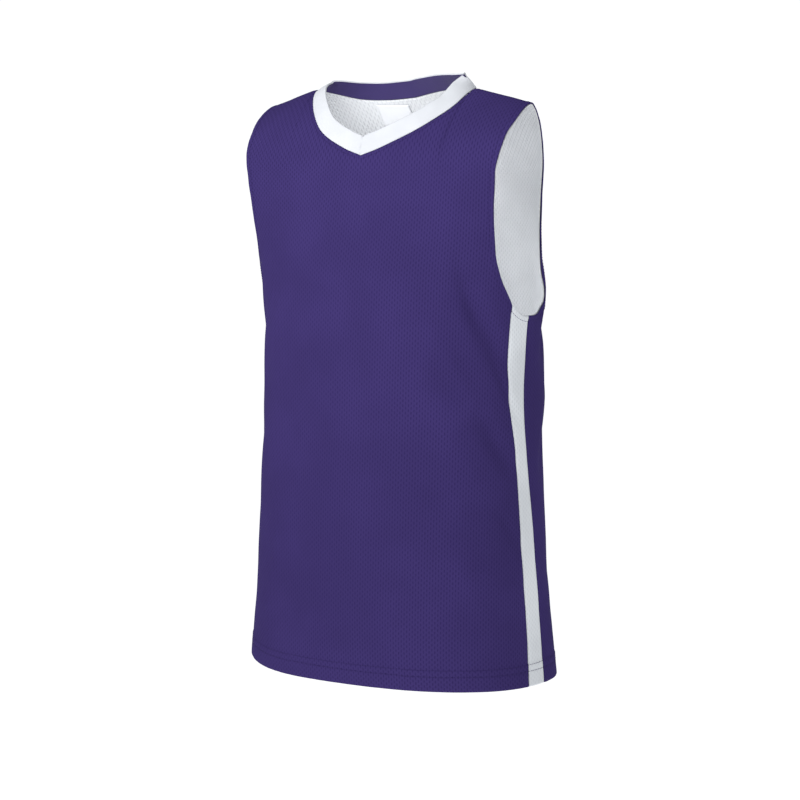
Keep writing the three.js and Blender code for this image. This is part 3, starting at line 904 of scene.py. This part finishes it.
def laid_on(line, tree, outward):
    """A line drawn down onto the nearest cloth, with the cloth's outward normals."""
    points, normals = [], []
    for point, out in zip(line, outward):
        place, normal, _, _ = tree.find_nearest(Vector(point + out * STITCH_SEARCH))
        points.append(place)
        normals.append(normal if normal.dot(Vector(out)) > 0 else -normal)
    return np.array(points), unit(np.array(normals))


def stitches(name, rows, material):
    """Rows of lockstitches along lines (points, normals), as one joined mesh of thread."""
    points, cells = [], []
    angle = np.arange(STITCH_SIDES) * 2 * np.pi / STITCH_SIDES
    cosine, sine = np.cos(angle)[:, None], np.sin(angle)[:, None]
    rings = len(STITCH_FORM["share"])
    tube = quads(rings, STITCH_SIDES, closed=True)
    first = np.arange(STITCH_SIDES)
    caps = [first[::-1], first + (rings - 1) * STITCH_SIDES]
    radius = (STITCH_RADIUS * STITCH_FORM["girth"])[:, None, None]
    for line, normals in rows:
        gone = lengths_along(line)
        starts = np.arange(0, gone[-1] - STITCH_PITCH, STITCH_PITCH)
        at = starts[:, None] + STITCH_FORM["share"] * STITCH_LENGTH
        up = unit(along_line(normals, gone, at))
        spine = along_line(line, gone, at) + up * STITCH_FORM["height"][:, None]
        along = unit(spine[:, -1:] - spine[:, :1])
        aside = unit(np.cross(along, up))
        ring = aside[:, :, None] * cosine + up[:, :, None] * sine
        for stitch in (spine[:, :, None] + radius * ring).reshape(len(starts), -1, 3):
            start = len(points)
            points.extend(stitch)
            cells.extend((tube + start).tolist())
            cells.extend([(cap + start).tolist() for cap in caps])
    return mesh_object(name, np.array(points), cells, np.ones(len(cells), bool), material)


def hem_rows(tree):
    """The two rows round the hem."""
    rows = []
    turn = np.radians(np.arange(0, 361, HEM_ROW_DEGREES))
    for distance in HEM_STITCHES:
        height = np.full(turn.shape, HEM_HEIGHT + distance)
        rows.append(laid_on(draped_point(turn, height), tree, normal_of(plain_point, turn, height)))
    return rows


def beside(line, normals, distance, towards):
    """A line a distance aside from another on the cloth, on the side that a point lies on."""
    along = unit(np.gradient(line, axis=0))
    aside = np.cross(normals, along)
    middle = len(line) // 2
    if np.dot(aside[middle], towards - line[middle]) < 0:
        aside = -aside
    return line + aside * distance


def armhole_rows(tree, grid):
    """The row round each armhole."""
    rows = []
    for side in (1, -1):
        flip = np.array([side, 1])
        front = panel_side(True, grid)[1][::-1]
        bottom = side_panel(True, grid)[-1]
        back = panel_side(False, grid)[1]
        places = np.vstack([front, bottom[1:-1], back]) * flip
        line = surface(places)
        normals = normal_of(plain_point, places[:, 0], places[:, 1])
        below = surface(np.array([[side * np.pi / 2, ARMHOLE_BOTTOM - BELOW_ARMHOLE]]))[0]
        moved = beside(line, normals, ARMHOLE_STITCHES, below)
        rows.append(laid_on(moved, tree, normals))
    return rows


def neck_rows(tree):
    """The row round the neck, just below the collar's seam."""
    points, normals, along, _ = neck_loop()
    aside = -unit(np.cross(normals, along))
    line = points + aside * NECK_STITCHES
    line, normals = np.vstack([line, line[:1]]), np.vstack([normals, normals[:1]])
    return [laid_on(line, tree, normals)]


class Nodes:
    """Short words for building a material's nodes."""

    def __init__(self, name):
        self.material = bpy.data.materials.new(name)
        self.material.use_nodes = True
        self.tree = self.material.node_tree
        self.shader = self.tree.nodes["Principled BSDF"]

    def add(self, kind, inputs=(), **settings):
        """A node with its inputs and its settings."""
        node = self.tree.nodes.new(kind)
        for key, value in settings.items():
            setattr(node, key, value)
        for key, value in dict(inputs).items():
            self.put(node.inputs[key], value)
        return node

    def put(self, socket, value):
        """Links a socket to another, or sets its value."""
        if isinstance(value, bpy.types.NodeSocket):
            self.tree.links.new(value, socket)
        else:
            socket.default_value = value

    def math(self, operation, one, other=0.0):
        node = self.add("ShaderNodeMath", {0: one, 1: other}, operation=operation)
        return node.outputs[0]

    def ribs(self, place, pitch):
        """Fine ribs across a coordinate, from -1 to 1."""
        return self.math("SINE", self.math("MULTIPLY", place, 2 * math.pi / pitch))

    def bump(self, height, strength, depth):
        inputs = {"Strength": strength, "Distance": depth * METRES, "Height": height}
        return self.add("ShaderNodeBump", inputs).outputs["Normal"]

    def step(self, value, low, high):
        """A soft step from 0 to 1 between two values."""
        inputs = {"Value": value, "From Min": low, "From Max": high}
        node = self.add("ShaderNodeMapRange", inputs, interpolation_type="SMOOTHSTEP")
        return node.outputs[0]

    def colour(self, share, one, other):
        node = self.add("ShaderNodeMix", data_type="RGBA")
        self.put(node.inputs["Factor"], share)
        self.put(node.inputs["A"], one)
        self.put(node.inputs["B"], other)
        return node.outputs["Result"]

    def noise(self, vector, scale, detail=2.0):
        inputs = {"Vector": vector, "Scale": scale, "Detail": detail}
        return self.add("ShaderNodeTexNoise", inputs).outputs["Fac"]

    def object_place(self):
        return self.add("ShaderNodeTexCoord").outputs["Object"]

    def shader_values(self, **values):
        """Sets the shader's sockets, each by its name in lower case."""
        for key, value in values.items():
            self.put(self.shader.inputs[key.replace("_", " ").title().replace("Ior", "IOR")], value)


def linear(colour):
    """A colour in display values from 0 to 255 as linear light."""
    parts = [v / 255 for v in colour]
    return tuple(v / 12.92 if v <= 0.04045 else ((v + 0.055) / 1.055) ** 2.4 for v in parts) + (1.0,)


def scaled(colour, share):
    """A colour made lighter or darker."""
    return tuple(min(1.0, v * share) for v in colour[:3]) + (1.0,)


def cloth_axes(nodes):
    """Cloth coordinates in millimetres."""
    place = nodes.add("ShaderNodeUVMap", uv_map="cloth").outputs["UV"]
    parts = nodes.add("ShaderNodeSeparateXYZ", {0: place}).outputs
    return [nodes.math("MULTIPLY", parts[axis], 1 / METRES) for axis in ("X", "Y")]


def dimples(nodes, across, up):
    """Staggered upright dimples of closed-hole mesh: 1 in the middle of each, 0 between them."""
    column_at = nodes.math("DIVIDE", across, DIMPLE_PITCH[0])
    odd = nodes.math("PINGPONG", nodes.math("FLOOR", column_at), 1.0)
    row_at = nodes.math("DIVIDE", up, DIMPLE_PITCH[1])
    row_at = nodes.math("ADD", row_at, nodes.math("MULTIPLY", odd, 0.5))
    squares = []
    for at, pitch, size in zip((column_at, row_at), DIMPLE_PITCH, DIMPLE_SIZE):
        aside = nodes.math("SUBTRACT", nodes.math("FRACT", at), 0.5)
        squares.append(nodes.math("POWER", nodes.math("MULTIPLY", aside, pitch / size), 2.0))
    radius = nodes.math("ADD", *squares)
    return nodes.math("SUBTRACT", 1.0, nodes.step(radius, *DIMPLE_SLOPE))


def patchy(nodes, yarn, other, scale):
    """A yarn's colour that turns into another in soft patches."""
    patches = nodes.noise(nodes.object_place(), scale)
    return nodes.colour(nodes.step(patches, low=0.3, high=0.7), yarn, other)


def mesh_knit(name, yarn, hollow_shade_colour, roughness, depth, hollow_shade_share):
    """Closed-hole mesh knit with fine wales between its dimples, and painted shade in the dimples'
    hollows.
    """
    nodes = Nodes(name)
    across, up = cloth_axes(nodes)
    dimple = dimples(nodes, across, up)
    fine = nodes.math("MULTIPLY", nodes.ribs(across, MESH_WALE), nodes.ribs(up, MESH_COURSE))
    height = nodes.math("SUBTRACT", nodes.math("MULTIPLY", fine, MESH_WALE_HEIGHT), dimple)
    yarn, lighter = linear(yarn), scaled(linear(yarn), 1.12)
    base = patchy(nodes, yarn, lighter, scale=14.0)
    # Painted shade: each dimple's hollow is drawn darker in the hollow colour, on top of its bump.
    colour = nodes.colour(nodes.math("MULTIPLY", dimple, hollow_shade_share), base, linear(hollow_shade_colour))
    normal = nodes.bump(height, strength=1.0, depth=depth)
    nodes.shader_values(base_color=colour, roughness=roughness, normal=normal)
    nodes.shader_values(sheen_weight=0.006, sheen_roughness=0.5, sheen_tint=lighter)
    nodes.shader_values(specular_ior_level=0.02)
    return nodes.material


def flat_knit(name, yarn):
    """Smooth knit of the neck bands, with fine wales across the band."""
    nodes = Nodes(name)
    across, up = cloth_axes(nodes)
    courses = nodes.math("MULTIPLY", nodes.ribs(up, BAND_COURSE), 0.5)
    height = nodes.math("ADD", nodes.ribs(across, BAND_WALE), courses)
    normal = nodes.bump(height, strength=0.8, depth=BAND_KNIT_DEPTH)
    yarn = linear(yarn)
    colour = patchy(nodes, yarn, scaled(yarn, 0.94), scale=30.0)
    nodes.shader_values(base_color=colour, roughness=0.75, normal=normal)
    nodes.shader_values(sheen_weight=0.08, sheen_roughness=0.5, specular_ior_level=0.3)
    return nodes.material


def tape(name, yarn):
    """Satin tape of the blank label."""
    nodes = Nodes(name)
    _, up = cloth_axes(nodes)
    normal = nodes.bump(nodes.ribs(up, TAPE_RIB), strength=0.5, depth=TAPE_DEPTH)
    mottle = nodes.noise(nodes.object_place(), scale=80.0)
    yarn = linear(yarn)
    colour = nodes.colour(mottle, yarn, scaled(yarn, 0.95))
    nodes.shader_values(base_color=colour, roughness=0.45, normal=normal)
    nodes.shader_values(sheen_weight=0.1, specular_ior_level=0.45)
    return nodes.material


def thread(name, yarn):
    """Sewing thread, with its twist as a fine mottle."""
    nodes = Nodes(name)
    twist = nodes.noise(nodes.object_place(), scale=1800.0, detail=1.0)
    normal = nodes.bump(twist, strength=0.6, depth=THREAD_DEPTH)
    yarn = linear(yarn)
    colour = nodes.colour(twist, scaled(yarn, 0.7), yarn)
    nodes.shader_values(base_color=colour, roughness=0.6, normal=normal, specular_ior_level=0.1)
    return nodes.material


def make_materials():
    """A material for each kind of cloth, and one for the thread."""
    # The share of hollow colour sets how strong the painted shade at the bottom of each dimple is.
    outer = {"roughness": 0.9, "depth": 0.38, "hollow_shade_share": 0.5}
    side = {"roughness": 0.78, "depth": 0.2, "hollow_shade_share": 0.4}
    inner = {"roughness": 0.85, "depth": 0.6, "hollow_shade_share": 0.35}
    return {
        "outer": mesh_knit("outer_mesh_knit", OUTER_PURPLE, OUTER_HOLLOW_SHADE, **outer),
        "side": mesh_knit("side_mesh_knit", SIDE_WHITE, SIDE_HOLLOW_SHADE, **side),
        "inner": mesh_knit("inner_mesh_knit", INNER_WHITE, INNER_HOLLOW_SHADE, **inner),
        "collar": flat_knit("collar_knit", COLLAR_WHITE),
        "inner_collar": flat_knit("inner_collar_knit", INNER_COLLAR_PURPLE),
        "label": tape("label_tape", LABEL_WHITE),
        "thread": thread("purple_thread", THREAD_PURPLE),
    }


def floor_material():
    """A matt white floor, lit from within as a light table is."""
    nodes = Nodes("floor_white")
    nodes.shader_values(base_color=FLOOR_WHITE, roughness=0.9, specular_ior_level=0.2)
    nodes.shader_values(emission_color=(1, 1, 1, 1), emission_strength=FLOOR_GLOW)
    return nodes.material


def make_camera():
    """The camera at the photograph's angle."""
    data = bpy.data.cameras.new("camera")
    data.sensor_width = CAMERA_SENSOR
    data.lens = CAMERA_LENS
    camera = bpy.data.objects.new("camera", data)
    camera.location = (
        CAMERA_DISTANCE * math.sin(CAMERA_AZIMUTH),
        -CAMERA_DISTANCE * math.cos(CAMERA_AZIMUTH),
        CAMERA_HEIGHT,
    )
    camera.rotation_euler = (math.pi / 2 - CAMERA_TIP, 0, CAMERA_AZIMUTH)
    bpy.context.scene.collection.objects.link(camera)
    bpy.context.scene.camera = camera


def make_lamp(name, energy, place, size, turn):
    """A soft rectangular lamp that the camera doesn't see."""
    data = bpy.data.lights.new(name, "AREA")
    data.energy = energy
    data.shape = "RECTANGLE"
    data.size, data.size_y = size
    lamp = bpy.data.objects.new(name, data)
    lamp.location = place
    lamp.rotation_euler = [math.radians(v) for v in turn]
    lamp.visible_camera = False
    bpy.context.scene.collection.objects.link(lamp)


def make_floor():
    """A pale floor below the hem."""
    corners = np.array([(-1, -1, 0), (1, -1, 0), (1, 1, 0), (-1, 1, 0)]) * FLOOR_REACH
    corners[:, 2] = HEM_HEIGHT * METRES - FLOOR_CLEARANCE
    mesh_object("floor", corners / METRES, [range(4)], [False], floor_material())


def make_world():
    """An even pale room that the camera sees as white."""
    world = bpy.data.worlds.new("studio")
    world.use_nodes = True
    tree = world.node_tree
    background = tree.nodes["Background"]
    background.inputs["Color"].default_value = ROOM_COLOUR
    rays = tree.nodes.new("ShaderNodeLightPath")
    light = tree.nodes.new("ShaderNodeMix")
    light.inputs["A"].default_value = ROOM_LIGHT
    light.inputs["B"].default_value = BACKDROP_LIGHT
    tree.links.new(rays.outputs["Is Camera Ray"], light.inputs["Factor"])
    tree.links.new(light.outputs["Result"], background.inputs["Strength"])
    bpy.context.scene.world = world


def make_stage():
    """The floor, the room and the lamps."""
    make_floor()
    make_world()
    for name, lamp in LAMPS.items():
        make_lamp(name, *lamp)
    bpy.context.scene.view_settings.view_transform = "Standard"


def hang(piece, node, slot, with_pieces=()):
    """Hangs a cloth piece in the frame in the place of its solid, and hides the solid."""
    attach(piece, "root")
    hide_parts(node)


def main():
    materials = make_materials()
    make_camera()
    make_stage()
    near = {name: Nearest(*lines) for name, lines in edge_lines().items()}
    grid, lining_grid = Grid(PLAIN_STEP), Grid(LINING_STEP)
    front, back, strips = outer_panels(near, grid, materials)
    collar, inner_collar = collars(materials)
    tree = face_tree(front, back, *strips.values())
    threads = [
        stitches("hem_stitches", hem_rows(tree), materials["thread"]),
        stitches("armhole_stitches", armhole_rows(tree, grid), materials["thread"]),
        stitches("neck_stitches", neck_rows(tree), materials["thread"]),
    ]
    for piece in threads:
        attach(piece, "root")
    front_lining = lining_panel("front_lining", True, lining_grid, materials["inner"])
    back_lining = lining_panel("back_lining", False, lining_grid, materials["inner"])
    hang(front, "front", "outer_mesh", threads)
    hang(back, "back", "outer_mesh")
    hang(strips["left"], "side_left", "side_mesh")
    hang(strips["right"], "side_right", "side_mesh")
    hang(collar, "collar", "collar_knit")
    hang(inner_collar, "collar_lining", "inner_collar_knit")
    hang(front_lining, "lining_front", "inner_mesh")
    hang(back_lining, "lining_back", "inner_mesh")
    hang(label_piece(materials["label"]), "label", "label_tape")


main()
